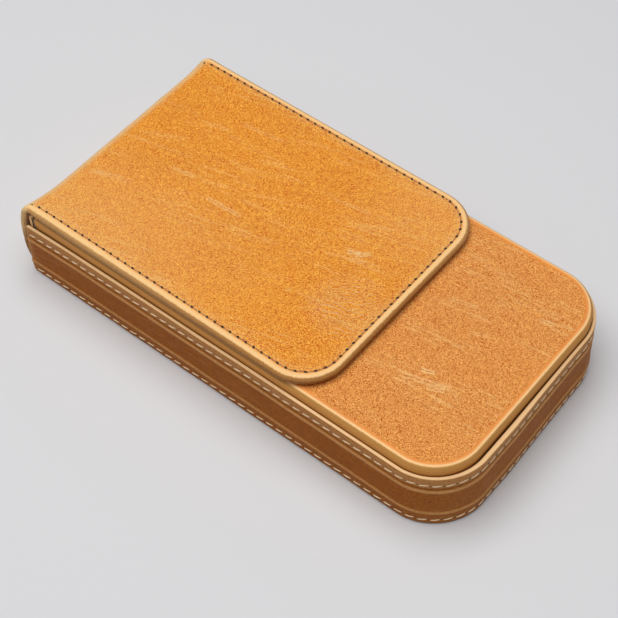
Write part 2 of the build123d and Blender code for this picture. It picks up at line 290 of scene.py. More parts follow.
def leather(
    name,
    base,
    dark,
    light,
    pale,
    rim,
    ragged=0.4,
    gloss=0.2,
    grain_mm=1.0,
    grain_share=1.0,
    relief_mm=0.3,
    cloud_share=0.4,
    streak_turn=-12.0,
    streak_share=0.35,
    marks=(),
    wrinkles=None,
):
    """Full-grain leather: pebbled, cloudy in tone, veined, scratched, paled by wear at its rim,
    and paler where the mesh gives wear and painted highlight.

    rim lists (distance from the edge in mm, colour, share), from the edge inwards. marks
    lists (start, end, width, strength) of scratches. wrinkles is (centre of their arcs,
    middle, reach, spacing). Places and widths are in mm on the flat leather.
    """
    shader = Shader(name)
    place = shader.flat_place()
    drift = shader.node("ShaderNodeTexNoise", {"Vector": place, "Scale": 0.45, "Detail": 2.0})
    warped = shader.vector_maths("ADD", place, drift.outputs["Color"])

    # Relief: rounded pebbles with finer grain on them
    pebbles = shader.cells(warped, grain_mm * 1.25)
    grains = shader.noise(warped, grain_mm * 0.8, detail=3.0, rough=0.62)
    grain = shader.maths("SUBTRACT", shader.product(grains, 1.5), shader.product(pebbles, 0.55))
    edge = shader.attribute("edge_mm")
    smooth_mm = min(rim[-1][0], 3.2)
    inside_rim = shader.ramp(edge, smooth_mm * 0.7, smooth_mm, 0.1, 1.0)
    turned = math.radians(streak_turn)
    fine_place = shader.mapped(warped, scale=(0.7, 1.2, 1), turn=turned)
    fine = shader.noise(fine_place, grain_mm * 0.25, detail=1.0, rough=0.6)
    height = shader.product(shader.total(grain, shader.product(fine, 0.6)), inside_rim)

    # Tone: large clouds, smaller patches and the colours listed for the rim, which at the very
    # edge hold painted shade on the covers and painted light at the foot of the front panel's wall
    clouds = shader.noise(place, 30.0, detail=3.0, rough=0.5, warp=0.5)
    patches = shader.noise(place, 7.0, detail=4.0, rough=0.6)
    cloudy = shader.product(shader.ramp(clouds, 0.32, 0.7), cloud_share)
    patchy = shader.product(shader.ramp(patches, 0.35, 0.72), 0.2)
    colour = shader.mix(shader.total(cloudy, patchy), base, dark)
    waver = shader.product(shader.maths("SUBTRACT", grains, 0.5), 2 * ragged)
    rim_colour, rim_share = shader.stops(shader.total(edge, waver), rim)
    colour = shader.mix(rim_share, colour, rim_colour)

    # Veins along the hide, and the grain's light and dark specks, which are lighter on the veins
    long_place = shader.mapped(warped, scale=(0.075, 0.95, 1), turn=turned)
    streaks = shader.noise(long_place, 1.0, detail=2.5, rough=0.6)
    wide_place = shader.mapped(place, scale=(0.02, 0.08, 1), turn=turned)
    fields = shader.noise(wide_place, 1.0, detail=2.0)
    vein = shader.product(
        shader.ramp(streaks, 0.5, 0.64), shader.ramp(fields, 0.44, 0.6), inside_rim, streak_share
    )
    specks = shader.total(
        shader.product(grain, 0.1), shader.product(fine, 1.2), shader.product(vein, 0.07)
    )
    middle_speck = 0.635
    for far_end, tint in ((0.7, light), (0.57, dark)):
        share = shader.ramp(specks, middle_speck, far_end)
        colour = shader.mix(shader.product(share, inside_rim, grain_share), colour, tint)
    vein_share = shader.product(vein, shader.ramp(fine, 0.4, 0.62, 0.15, 0.6))
    colour = shader.mix(vein_share, colour, pale)

    # Paler places from wear and from painted sheen and highlight, as the mesh gives them; single
    # scratches; a fan of wrinkles
    wear_and_highlight = shader.attribute("wear_and_highlight")
    grain_broken_share = shader.ramp(grains, 0.3, 0.62, 0.72, 1.0)
    wear_and_highlight_share = shader.maths("MULTIPLY", wear_and_highlight, grain_broken_share, clamp=True)
    colour = shader.mix(wear_and_highlight_share, colour, pale)
    for start, end, width, strength in marks:
        mark = shader.scratch(place, start, end, width)
        broken = shader.ramp(grains, 0.36, 0.55, 0.25, 1.0)
        colour = shader.mix(shader.product(mark, broken, strength), colour, pale)
    if wrinkles is not None:
        crease = shader.creases(place, warped, *wrinkles)
        crease_share = shader.product(crease, shader.ramp(fine, 0.4, 0.62, 0.2, 0.7))
        colour = shader.mix(crease_share, colour, pale)
        height = shader.total(height, shader.product(crease, 0.35))
    return shader.look(
        {
            "Base Color": colour,
            "Roughness": shader.ramp(grains, 0.3, 0.7, 0.6, 0.44),
            "Specular IOR Level": gloss,
            "Normal": shader.bump(vein, 0.12, shader.bump(height, relief_mm)),
        }
    )


def suede(name, base, dark, solid=False):
    """Napped split leather: soft mottling, no gloss."""
    shader = Shader(name)
    place = shader.solid_place() if solid else shader.flat_place()
    nap = shader.noise(place, 0.35, detail=3.0, rough=0.7)
    brushed = shader.noise(shader.mapped(place, scale=(0.25, 1, 1)), 5.0, detail=4.0, rough=0.6)
    tone = shader.total(shader.product(nap, 0.5), shader.ramp(brushed, 0.35, 0.7, 0, 0.5))
    shader.look({"Base Color": shader.mix(tone, base, dark), "Normal": shader.bump(nap, 0.08)})
    return shader.look({"Roughness": 0.95, "Sheen Weight": 0.25, "Sheen Roughness": 0.5})


def board(name, base, dark):
    """Pressed fibre board, seen only where the case is open."""
    shader = Shader(name)
    place = shader.mapped(shader.solid_place(), scale=(0.3, 1, 2))
    fibres = shader.noise(place, 0.8, detail=4.0, rough=0.7)
    shader.look({"Base Color": shader.mix(fibres, base, dark), "Roughness": 0.9})
    return shader.look({"Normal": shader.bump(fibres, 0.05)})


def thread(name, base, dark):
    """Waxed sewing thread, with its twist."""
    shader = Shader(name)
    twist = shader.noise(shader.mapped(shader.solid_place(), turn=0.8), 0.5, detail=2.0)
    colour = shader.mix(shader.ramp(twist, 0.35, 0.65), base, dark)
    shader.look({"Base Color": colour, "Roughness": 0.55})
    return shader.look({"Normal": shader.bump(twist, 0.06)})


def steel(name):
    """Nickel-plated magnet."""
    shader = Shader(name)
    brushed = shader.noise(shader.mapped(shader.solid_place(), scale=(0.2, 3, 1)), 0.6)
    silver = shader.mix(brushed, srgb(205, 204, 200), srgb(170, 168, 164))
    sheen = shader.ramp(brushed, 0, 1, 0.22, 0.38)
    return shader.look({"Base Color": silver, "Metallic": 1.0, "Roughness": sheen})


# Leather marks and materials


def mark_places(marks, start_x):
    """Marks given in the part's X and Y, in millimetres, moved to a flat sheet's own run."""
    shift = start_x / MM
    return [
        ((x1 - shift, y1), (x2 - shift, y2), width, strength)
        for x1, y1, x2, y2, width, strength in marks
    ]


def fold_shape(fold_radius, line_z, up):
    """Where a sheet bends from the bowed spine into its fold, and from there runs flat.

    up is 1 for the upper fold and -1 for the lower. Returns the fold's centre, the angle at
    which the bow ends, and the runs at which the bow and the fold end.
    """
    fold_z = line_z - up * fold_radius
    lean = math.asin(abs(fold_z - bow_mid_z) / (bow_radius - fold_radius))
    fold_x = bow_centre_x - (bow_radius - fold_radius) * math.cos(lean)
    bow_end = bow_radius * lean
    fold_end = bow_end + fold_radius * (math.pi / 2 - lean)
    return (fold_x, fold_z), lean, bow_end, fold_end


def sheet_start(fold_radius, line_z, up):
    """The X that run 0 of a bent sheet would have if the sheet were laid out flat."""
    (fold_x, _), _, _, fold_end = fold_shape(fold_radius, line_z, up)
    return fold_x - fold_end


flap_sheet_x = sheet_start(upper_fold_radius, flap_top, 1)
back_sheet_x = sheet_start(lower_fold_radius, 0.0, -1)

flap_marks = mark_places(
    [
        (-65.6, -1.9, -53.3, -0.4, 0.35, 0.5),
        (-46.5, -5.2, -27.5, -4.2, 0.45, 0.6),
        (-88.0, -20.0, -70.0, -16.0, 0.5, 0.3),
        (10.0, 6.0, 15.0, 8.4, 0.45, 0.9),
        (12.5, 6.2, 18.4, 10.6, 0.5, 0.8),
        (13.0, 3.8, 19.0, 6.0, 0.35, 0.5),
        (-10.0, 22.0, 8.0, 25.0, 0.35, 0.35),
        (-60.0, 30.0, -38.0, 33.0, 0.35, 0.3),
    ],
    flap_sheet_x,
)
front_marks = mark_places(
    [
        (58.4, -16.0, 64.2, -13.9, 0.42, 1.0),
        (53.0, -21.6, 73.0, -15.6, 0.6, 0.5),
        (64.0, -20.5, 71.0, -18.0, 0.5, 0.45),
        (77.5, 25.4, 84.0, 26.6, 0.4, 0.6),
        (48.0, 14.0, 60.0, 17.0, 0.4, 0.4),
        (62.0, 6.0, 70.0, 9.5, 0.35, 0.4),
    ],
    front_low.x,
)
wrinkle_centre = (9.0 - flap_sheet_x / MM, 16.0)
wrinkle_middle = (26.0 - flap_sheet_x / MM, -13.0)
wrinkle_reach = 17.0
wrinkle_spacing = 1.4

side_tan = srgb(166, 116, 62)
pale_tan = srgb(244, 202, 140)
cover_leather = leather(
    "cover_leather",
    srgb(247, 140, 10),
    srgb(196, 78, 1),
    srgb(255, 188, 74),
    pale_tan,
    rim=[
        # The darkest colour, at the very edge, is painted shade on the lower half of the round
        # edge.
        (0.0, srgb(140, 90, 44), 1.0),
        (0.2, side_tan, 1.0),
        (0.8, side_tan, 1.0),
        (1.2, pale_tan, 0.95),
        (2.1, pale_tan, 1.0),
        (2.7, pale_tan, 0.62),
        (4.4, pale_tan, 0.55),
        (5.2, pale_tan, 0.25),
        (7.0, pale_tan, 0.0),
    ],
    streak_turn=-14.0,
    streak_share=0.6,
    marks=flap_marks,
    wrinkles=(wrinkle_centre, wrinkle_middle, wrinkle_reach, wrinkle_spacing),
)
# A paler tan at the foot of the front panel's wall, where it meets the band: painted light against
# the shade there.
lit_wall_foot_tan = srgb(212, 146, 68)
front_leather = leather(
    "front_leather",
    srgb(236, 138, 42),
    srgb(182, 76, 5),
    srgb(255, 189, 104),
    srgb(252, 212, 148),
    rim=[
        (0.0, lit_wall_foot_tan, 1.0),
        (0.12, lit_wall_foot_tan, 1.0),
        (0.3, srgb(182, 132, 68), 1.0),
        (0.85, srgb(194, 141, 76), 1.0),
        (1.05, srgb(252, 208, 148), 1.0),
        (1.4, srgb(250, 204, 142), 1.0),
        (1.8, pale_tan, 0.35),
        (2.3, pale_tan, 0.12),
        (3.2, pale_tan, 0.0),
    ],
    ragged=0.15,
    grain_mm=0.9,
    streak_turn=-8.0,
    streak_share=0.7,
    cloud_share=0.25,
    marks=front_marks,
)
# The band is written darker than the covers: partly its own darker leather, partly painted shade
# for its upright sides.
band_leather = leather(
    "band_leather",
    srgb(156, 79, 5),
    srgb(122, 56, 2),
    srgb(184, 106, 22),
    srgb(226, 170, 108),
    rim=[
        (0.0, srgb(255, 226, 178), 1.0),
        (0.12, srgb(255, 226, 178), 1.0),
        (0.4, pale_tan, 0.0),
    ],
    ragged=0.05,
    gloss=0.06,
    grain_share=0.9,
    relief_mm=0.14,
    streak_share=0.25,
)
tray_leather = leather(
    "tray_leather",
    srgb(226, 160, 92),
    srgb(196, 120, 56),
    srgb(242, 192, 124),
    srgb(246, 208, 148),
    rim=[(0.0, pale_tan, 0.6), (1.0, pale_tan, 0.5), (2.4, pale_tan, 0.0)],
)
lining_leather = suede("flap_lining_suede", srgb(196, 148, 98), srgb(158, 108, 66))
inner_suede = suede("inner_suede", srgb(112, 80, 56), srgb(72, 48, 32), solid=True)
bed_suede = suede("bed_suede", srgb(112, 80, 56), srgb(72, 48, 32))
core_board = board("core_board", srgb(150, 134, 112), srgb(118, 102, 82))
tray_board = board("tray_board", srgb(96, 68, 46), srgb(66, 44, 30))
tan_thread = thread("tan_thread", srgb(196, 142, 90), srgb(120, 76, 40))
cream_thread = thread("cream_thread", srgb(255, 238, 198), srgb(246, 212, 168))
# Near-black ovals set at the stitch holes: painted shade of the holes.
painted_hole_shade = thread("stitch_hole_shadow", srgb(40, 20, 8), srgb(20, 10, 4))
magnet_steel = steel("magnet_steel")


# Mesh building


def metres(pairs):
    """Pairs of millimetres turned into metres."""
    return [(a * MM, b * MM) for a, b in pairs]


def ripple(points, size, depth, seed):
    """Smooth uneven heights at points, in metres."""
    heights = np.empty(len(points))
    for n, p in enumerate(points):
        place = Vector((p[0] / size, p[1] / size, p[2] / size + seed))
        heights[n] = noise.fractal(place, 1.0, 2.0, 3) * depth
    return heights


def add_object(name, data):
    """A new object in the scene."""
    made = bpy.data.objects.new(name, data)
    bpy.context.collection.objects.link(made)
    return made


def add_values(mesh, flat=None, edge=None, wear_and_highlight=None):
    """Gives each point its place on the flat leather, its distance from the edge, and its paleness
    from wear and painted highlight.
    """
    if flat is not None:
        layer = mesh.attributes.new("flat_mm", "FLOAT_VECTOR", "POINT")
        layer.data.foreach_set("vector", np.asarray(flat, np.float32).ravel())
    for label, values in (("edge_mm", edge), ("wear_and_highlight", wear_and_highlight)):
        if values is not None:
            layer = mesh.attributes.new(label, "FLOAT", "POINT")
            layer.data.foreach_set("value", np.asarray(values, np.float32))


def make_piece(name, points, faces, material, flat=None, edge=None, wear_and_highlight=None):
    """A mesh piece from points and faces, with doubles merged and its leather values kept."""
    mesh = bpy.data.meshes.new(name)
    mesh.from_pydata([tuple(p) for p in points], [], faces)
    add_values(mesh, flat, edge, wear_and_highlight)
    form = bmesh.new()
    form.from_mesh(mesh)
    bmesh.ops.remove_doubles(form, verts=form.verts, dist=1e-7)
    for seam in [e for e in form.edges if e.is_boundary]:
        seam.smooth = False
    bmesh.ops.holes_fill(form, edges=[e for e in form.edges if e.is_boundary], sides=0)
    bmesh.ops.recalc_face_normals(form, faces=form.faces)
    form.to_mesh(mesh)
    form.free()
    mesh.shade_smooth()
    mesh.materials.append(material)
    return add_object(name, mesh)


def row_numbers(count, width, first=0):
    """Point numbers of rows of points that are listed one after the other."""
    return [list(range(first + n * width, first + (n + 1) * width)) for n in range(count)]


def rows_faces(rows, closed=False):
    """Quads between neighbouring rows of point numbers."""
    faces = []
    for low, high in zip(rows, rows[1:]):
        count = len(low)
        for i in range(count if closed else count - 1):
            j = (i + 1) % count
            faces.append((low[i], low[j], high[j], high[i]))
    return faces


def tube_faces(rows):
    """Quads round rows of point numbers, and a face at each end."""
    return rows_faces(rows, closed=True) + [tuple(rows[0]), tuple(rows[-1])]


def steps(low, high, spacing):
    """Evenly spaced values from low to high, both ends kept."""
    return np.linspace(low, high, max(2, int(math.ceil(abs(high - low) / spacing)) + 1))


def path_lengths(path):
    """How far along a line each of its points lies."""
    return np.r_[0, np.cumsum(np.linalg.norm(np.diff(path, axis=0), axis=1))]


def along_path(distance, lengths, values):
    """What belongs to the points of a line, read at a distance along it."""
    return np.array([np.interp(distance, lengths, column) for column in values.T])


def panel_outline(length, half, corner, spacing):
    """Round a panel with two round corners at its far end, from the near side to the far.

    Each entry is the (run, across) place, the inward normal, and a side value that goes
    from -1 on the near side through 0 at the front to 1 on the far side.
    """
    centre_run, centre_y = length - corner, half - corner
    near = [((run, -half), (0.0, 1.0), -1.0) for run in steps(0, centre_run, spacing)]
    for turn in steps(0, math.pi / 2, spacing / corner)[1:]:
        out = (math.sin(turn), -math.cos(turn))
        place = (centre_run + corner * out[0], -centre_y + corner * out[1])
        near.append((place, (-out[0], -out[1]), -1 + turn / (math.pi / 2)))
    fronts = steps(-centre_y, centre_y, spacing)[1:]
    front = [((length, across), (-1.0, 0.0), 0.0) for across in fronts]
    far = [((run, -across), (nx, -ny), -side) for (run, across), (nx, ny), side in near[-2::-1]]
    return near + front + far


def slab(length, half, corner, profile, spacing, shift=None):
    """A flat panel with two round corners at its far end, from a profile round its edge.

    profile lists (inset, height) from the underside's middle, round the edge, to the top's
    middle. shift, if given, adds to an inset by its side value. Returns points (run, across,
    height), insets from the edge, and faces.
    """
    outline = panel_outline(length, half, corner, spacing)
    points, insets = [], []
    for inset, height in profile:
        for (run, across), (nx, ny), side in outline:
            reach = inset + (shift(inset, side) if shift else 0.0)
            points.append((run + nx * reach, across + ny * reach, height))
        insets.extend([inset] * len(outline))
    faces = rows_faces(row_numbers(len(profile), len(outline)))
    side_runs = steps(0, length - corner, spacing)
    fronts = steps(-(half - corner), half - corner, spacing)
    for height in (profile[0][1], profile[-1][1]):
        faces += rows_faces(row_numbers(len(fronts), len(side_runs), len(points)))
        for across in fronts:
            for run in side_runs:
                points.append((run, across, height))
                insets.append(min(half - abs(across), length - run))
    return np.array(points), np.array(insets), faces


def top_arc(radius, count):
    """The round upper edge of a leather profile, from its side up to its top."""
    return [
        (radius * (1 - math.cos(turn)), -radius * (1 - math.sin(turn)))
        for turn in np.linspace(0, math.pi / 2, count)
    ]


def edge_profile(corner, thickness, top, top_round, under_round):
    """Profile round a leather edge: flat underside, round edge, then the listed top."""
    profile = [
        (inset, -thickness) for inset in (corner, corner * 0.6, corner * 0.3, under_round * 1.6)
    ]
    for turn in np.linspace(0, math.pi / 2, 7):
        rise = under_round * (1 - math.cos(turn))
        profile.append((under_round * (1 - math.sin(turn)), rise - thickness))
    return profile + top_arc(top_round, 9) + top


def bent_strip(points, fold_radius, line_z, up):
    """Bends flat points round the bowed spine, its fold and out along the case.

    Run 0 is the middle of the spine. up is 1 for the upper fold and -1 for the lower.
    """
    (fold_x, fold_z), lean, bow_end, fold_end = fold_shape(fold_radius, line_z, up)
    placed = np.empty_like(points)
    for n, (run, across, height) in enumerate(points):
        if run < bow_end:
            angle = run / bow_radius
            centre, radius = (bow_centre_x, bow_mid_z), bow_radius
        elif run < fold_end:
            angle = lean + (run - bow_end) / fold_radius
            centre, radius = (fold_x, fold_z), fold_radius
        else:
            placed[n] = (fold_x + run - fold_end, across, line_z + up * height)
            continue
        placed[n] = (
            centre[0] - (radius + height) * math.cos(angle),
            across,
            centre[1] + up * (radius + height) * math.sin(angle),
        )
    return placed


def thread_row(name, spans, radius, dip, material):
    """Thread in stitches: each rises out of one hole and dives at the next.

    spans lists (start, end, outward normal) of each stitch. dip is how deep its ends lie.
    """
    points, faces = [], []
    sides = 8
    flatness = 0.85
    twist_depth = 0.12
    shares = (0.0, 0.05, 0.13, 0.26, 0.38, 0.5, 0.62, 0.74, 0.87, 0.95, 1.0)
    for start, end, out in spans:
        start, end, up = Vector(start), Vector(end), Vector(out).normalized()
        side = (end - start).normalized().cross(up).normalized()
        faces += tube_faces(row_numbers(len(shares), sides, len(points)))
        for k_row, t in enumerate(shares):
            rise = math.sin(math.pi * t) ** 0.35 if 0 < t < 1 else 0.0
            centre = start.lerp(end, t) + up * (dip * (rise - 1) + radius * 0.5 * rise)
            twist = 1.0 + twist_depth * (1 if k_row % 2 else -1)
            thick = radius * (0.6 + 0.4 * math.sin(math.pi * t) ** 0.5) * twist
            for k in range(sides):
                turn = 2 * math.pi * k / sides
                offset = side * math.cos(turn) + up * math.sin(turn) * flatness
                points.append(centre + offset * thick)
    return make_piece(name, points, faces, material)


def hole_row(name, places, size, rise):
    """Painted shade of the slots where the thread goes in: small flat dark ovals that rise above
    the leather.

    places lists (centre, long direction, outward normal). size is (half length, half width).
    """
    points, faces = [], []
    count = 12
    for centre, long_way, out in places:
        centre, up = Vector(centre), Vector(out).normalized()
        along = Vector(long_way)
        along = (along - up * along.dot(up)).normalized()
        side = up.cross(along)
        faces += tube_faces(row_numbers(2, count, len(points)))
        for height, share in ((-0.15 * MM, 1.0), (rise, 0.8)):
            for k in range(count):
                turn = 2 * math.pi * k / count
                offset = along * math.cos(turn) * size[0] + side * math.sin(turn) * size[1]
                points.append(centre + offset * share + up * height)
    return make_piece(name, points, faces, painted_hole_shade)


# The cover: flap, spine and back panel, in two pieces that meet half way up the spine


def leather_undulation(points):
    """Slight unevenness that a hand-lasted leather panel has."""
    return ripple(points, 22 * MM, 0.1 * MM, 3.0) + ripple(points, 6 * MM, 0.04 * MM, 9.0)


valley_depth = 0.28 * MM
flap_top_profile = [
    (2.2, 0.0), (2.5, -0.04), (2.8, -0.14), (3.0, -0.24), (3.2, -valley_depth / MM),
    (3.4, -0.25), (3.7, -0.16), (4.2, -0.09), (5.0, -0.05), (7.0, -0.03), (10.0, -0.02),
    (13.5, 0.0), (flap_corner / MM, 0.0),
]
flap_sheet_length = flap_front - flap_sheet_x


def seam_inset(side):
    """How far the flap's seam stands in from its edge: widest on the near side."""
    insets = (near_seam_inset, front_seam_inset, far_seam_inset)
    return float(np.interp(side, (-1, 0, 1), insets))


def seam_shift(inset, side):
    """Moves the rings of the flap's mesh so that its valley stays under the seam."""
    share = float(eased(inset, 1.8 * MM, 3.0 * MM) * (1 - eased(inset, 5 * MM, 12 * MM)))
    return (seam_inset(side) - front_seam_inset) * share


def cover_thickness(x):
    """Thickness of the cover, unrolled: thin in the spine, full in the flap."""
    growth = eased(x, mouth_x + 1 * MM, mouth_x + 12 * MM)
    return spine_thickness + (flap_thickness - spine_thickness) * growth


def valley_share(x):
    """How much of the seam's valley there is along the cover: none on the spine."""
    return eased(x, mouth_x - 1.5 * MM, mouth_x + 2.5 * MM)


def flap_surface(points, insets):
    """Heights of the flap's outer face: unevenness, and the middle slightly sunk."""
    lift = leather_undulation(points) * np.clip((insets - 2 * MM) / (5 * MM), 0, 1)
    return lift - 0.05 * MM * np.clip(insets / (20 * MM), 0, 1)


def spine_shift(points, rise):
    """How far the cover's points move in X where it goes round the mouth.

    Its near end stands off outwards, and its outer face is drawn in from there on. rise is the
    distance up the cover from the middle of the spine, so it is negative on the back cover.
    """
    across = points[:, 1]
    flat_start = fold_shape(upper_fold_radius, flap_top, 1)[3]
    up = eased(rise, -10 * MM, 12 * MM) * (1 - eased(rise, flat_start, flat_start + 14 * MM))
    flare = spine_flare * eased(-across, 41 * MM, 49.5 * MM)
    outer = eased(points[:, 2], -1.8 * MM, -0.4 * MM)
    ends = 1 - eased(-across, 33 * MM, 46 * MM) - 0.6 * eased(across, 38 * MM, 49 * MM)
    return up * (spine_drawn_in * ends * outer - flare)


def make_flap_cover():
    """Outer leather and lining of the flap and of the upper half of the spine."""
    rounds = (1.8 * MM, 1.75 * MM)
    profile = edge_profile(flap_corner, flap_thickness, metres(flap_top_profile), *rounds)
    points, insets, faces = slab(
        flap_sheet_length, flap_half, flap_corner, profile, 0.9 * MM, seam_shift
    )
    flat = points.copy()
    x = points[:, 0] + flap_sheet_x
    outside = (insets > 1.85 * MM) & (points[:, 2] > -1 * MM)
    points[:, 2] *= np.where(outside, valley_share(x), cover_thickness(x) / flap_thickness)
    points[outside, 2] += flap_surface(flat, insets)[outside]
    placed = bent_strip(points, upper_fold_radius, flap_top, 1)
    placed[:, 0] += spine_shift(flat, flat[:, 0])
    fold = 1 - eased(x, mouth_x + 1.8 * MM, mouth_x + 4.6 * MM)
    fold *= eased(points[:, 0], 0.5 * MM, 9 * MM)
    # Paler towards the near left of the flap: painted sheen.
    near_left_sheen = eased(-points[:, 1], -10 * MM, 45 * MM) * (1 - eased(x, -70 * MM, 20 * MM))
    far_right = eased(points[:, 1], -5 * MM, 38 * MM) * eased(x, -15 * MM, 30 * MM)
    cover = make_piece(
        "flap_cover",
        placed,
        faces,
        cover_leather,
        flat=flat * 1000,
        edge=insets * 1000,
        wear_and_highlight=np.maximum.reduce([0.85 * fold, 0.22 * near_left_sheen, 0.16 * far_right]),
    )
    return line_underside(cover)


def line_underside(cover):
    """Gives the faces of a cover's underside the lining's look."""
    mesh = cover.data
    mesh.materials.append(lining_leather)
    flat = np.zeros(len(mesh.vertices) * 3, np.float32)
    mesh.attributes["flat_mm"].data.foreach_get("vector", flat)
    heights = flat.reshape(-1, 3)[:, 2] * MM
    underside = -0.97 * flap_thickness
    for face in mesh.polygons:
        face.material_index = int(max(heights[v] for v in face.vertices) < underside)
    return cover


def make_back_cover():
    """Outer leather of the back panel and of the lower half of the spine."""
    back_half = back_high.y
    back_corner = sleeve_corner - (half_width - back_half)
    length = back_high.x - back_sheet_x
    top = [(inset, 0.0) for inset in (2.0 * MM, 4.0 * MM, 8.0 * MM, back_corner)]
    profile = edge_profile(back_corner, flap_thickness, top, 1.3 * MM, 0.8 * MM)
    points, insets, faces = slab(length, flap_half, back_corner, profile, 1.1 * MM)
    flat = points.copy()
    x = points[:, 0] + back_sheet_x
    on_back = eased(x, mouth_x - 13.0 * MM, mouth_x - 3.0 * MM)
    points[:, 1] *= 1 - on_back * (1 - back_half / flap_half)
    thin = eased(x, mouth_x - 5.0 * MM, mouth_x + 0.3 * MM)
    thickness = spine_thickness + (1.8 * MM - spine_thickness) * thin
    points[:, 2] *= thickness / flap_thickness
    placed = bent_strip(points, lower_fold_radius, 0.0, -1)
    placed[:, 0] += spine_shift(flat, -flat[:, 0])
    placed[:, 2] = np.maximum(placed[:, 2], 0.0)
    cover = make_piece(
        "back_cover_leather",
        placed,
        faces,
        cover_leather,
        flat=flat * 1000 + back_grain_shift,
        edge=insets * 1000,
        wear_and_highlight=0.5 * (1 - eased(np.abs(x - mouth_x), 2 * MM, 9 * MM)),
    )
    return line_underside(cover)


def end_swell(points, share=1.0):
    """How far the case's closed end swells out in X: most towards its near corner."""
    places = np.array([-50, -40, -30, -12, 0, 12, 24, 50]) * MM
    depths = np.array([0.0, 0.5, 1.2, 1.2, 0.8, 0.4, 0.1, 0.0]) * MM
    swell = np.interp(points[:, 1], places, depths)
    return share * swell * eased(points[:, 0], closed_x - sleeve_corner, closed_x - 3 * MM)


def make_front_cover():
    """Moulded front panel: full round rim, and sides that go down inside the band."""
    half = front_high.y
    corner = sleeve_corner - (half_width - half)
    length = front_high.x - front_low.x
    skirt = front_high.z - (band_high.z - 3.0 * MM)
    rim_radius = 2.0 * MM
    profile = [(inset, -2.5 * MM) for inset in (corner, 6.0 * MM, 1.6 * MM)]
    profile += [(1.5 * MM, -skirt), (0.45 * MM, -skirt)]
    profile += [(0.35 * MM, -skirt + 0.5 * MM), (0.22 * MM, -skirt + 2.4 * MM)]
    profile += metres([(0.1, -4.0), (0.0, -2.8)])
    profile += top_arc(rim_radius, 11)
    valley = [(2.4, -0.02), (2.8, -0.09), (3.2, -0.21), (3.6, -0.29), (4.3, -0.33)]
    profile += metres(valley + [(6.0, -0.33), (10.0, -0.30), (corner / MM, -0.27)])
    points, insets, faces = slab(length, half, corner, profile, 0.9 * MM)
    flat = points.copy()
    top = (insets > 2.0 * MM) & (points[:, 2] > -1 * MM)
    lift = leather_undulation(flat + 0.5) * np.clip((insets - 2 * MM) / (5 * MM), 0, 1)
    points[top, 2] += lift[top]
    points[:, 0] += front_low.x
    points[:, 0] += end_swell(points, 0.2)
    points[:, 2] += front_high.z
    return make_piece(
        "front_panel_leather",
        points,
        faces,
        front_leather,
        flat=flat * 1000 + front_grain_shift,
        edge=insets * 1000,
    )


# Side band

# Its outer face and lips, and its inner face, as (inset, height) in mm from the lower lip up
band_outer_section = [
    (0.95, 0.42), (0.50, 0.46), (0.20, 0.65), (0.06, 1.1), (0.03, 1.6), (0.08, 2.1),
    (0.16, 2.5), (0.20, 2.75), (0.16, 3.0), (0.06, 3.5), (0.02, 4.4), (0.05, 5.3),
    (-0.08, 5.8), (-0.26, 6.4), (-0.32, 6.9), (-0.25, 7.3), (-0.06, 7.8), (0.0, 8.3),
    (-0.05, 10.0), (-0.14, 14.0), (-0.10, 17.5), (-0.04, 19.2), (-0.14, 19.9), (-0.20, 20.3),
    (-0.12, 20.6), (0.15, 20.95), (0.36, 21.3), (0.42, 21.7), (0.34, 22.05), (0.10, 22.5),
    (0.0, 22.9), (0.05, 23.3), (0.15, 23.7), (0.18, 23.95), (0.15, 24.2), (0.04, 24.7),
    (-0.02, 25.5), (0.0, 26.8), (0.02, 27.6), (0.07, 27.95), (0.20, 28.15), (0.42, 28.2),
    (0.80, 28.2), (1.02, 28.17), (1.13, 28.05), (1.18, 27.8),
]
band_inner_section = [(1.2, 25.0), (1.2, 19.0), (1.2, 13.0), (1.2, 6.5), (1.2, 2.5), (1.15, 0.8)]

# How pale the band's leather is by height: a painted highlight on the upward-facing lip of each
# crease, and paler above the upper crease
band_tones = [
    (0.4, 0.05), (1.5, 0.12), (5.0, 0.08), (6.4, 0.02), (7.0, 0.55), (7.6, 0.65), (8.3, 0.04),
    (19.3, 0.02), (20.2, 0.75), (20.8, 0.70), (21.3, 0.04), (22.4, 0.02), (23.2, 0.42),
    (28.2, 0.46),
]

# Where the band ends at the mouth, as (height, X beyond the mouth): slanted, with a curl
band_end_line = [
    (0.4, 0.3), (0.9, -0.3), (1.8, -0.7), (3.5, -0.85), (8.0, -0.7), (14.0, -0.5),
    (20.0, -0.35), (23.0, -0.2), (25.0, 0.1), (25.8, 0.35), (26.3, 0.75), (26.5, 1.2),
]


def band_sag(from_mouth, height):
    """How much lower the band's upper features lie towards the mouth."""
    share = max(0.0, (height - band_low.z) / (21.0 * MM)) ** 0.8
    along = long_sag * (1 - float(eased(from_mouth, 80 * MM, 110 * MM)))
    return (mouth_sag * math.exp(-from_mouth / mouth_sag_reach) + along) * min(share, 1.0)


def band_wave(along, height):
    """Slight unevenness of the band's outer face."""
    place = Vector((along / (16 * MM), height / (8 * MM), 5.0))
    return noise.fractal(place, 1.0, 2.0, 3) * 0.10 * MM


def sleeve_line(inset, spacing):
    """Points and outward normals round the sleeve at an inset, from near mouth to far."""
    length = closed_x - inset - band_low.x
    outline = panel_outline(length, half_width - inset, sleeve_corner - inset, spacing)
    return [((band_low.x + run, across), (-nx, -ny)) for (run, across), (nx, ny), _ in outline]


def band_end_x(height):
    """Where the band ends at the mouth, at a height."""
    heights, reaches = zip(*band_end_line)
    return mouth_x + float(np.interp(height / MM, heights, reaches)) * MM


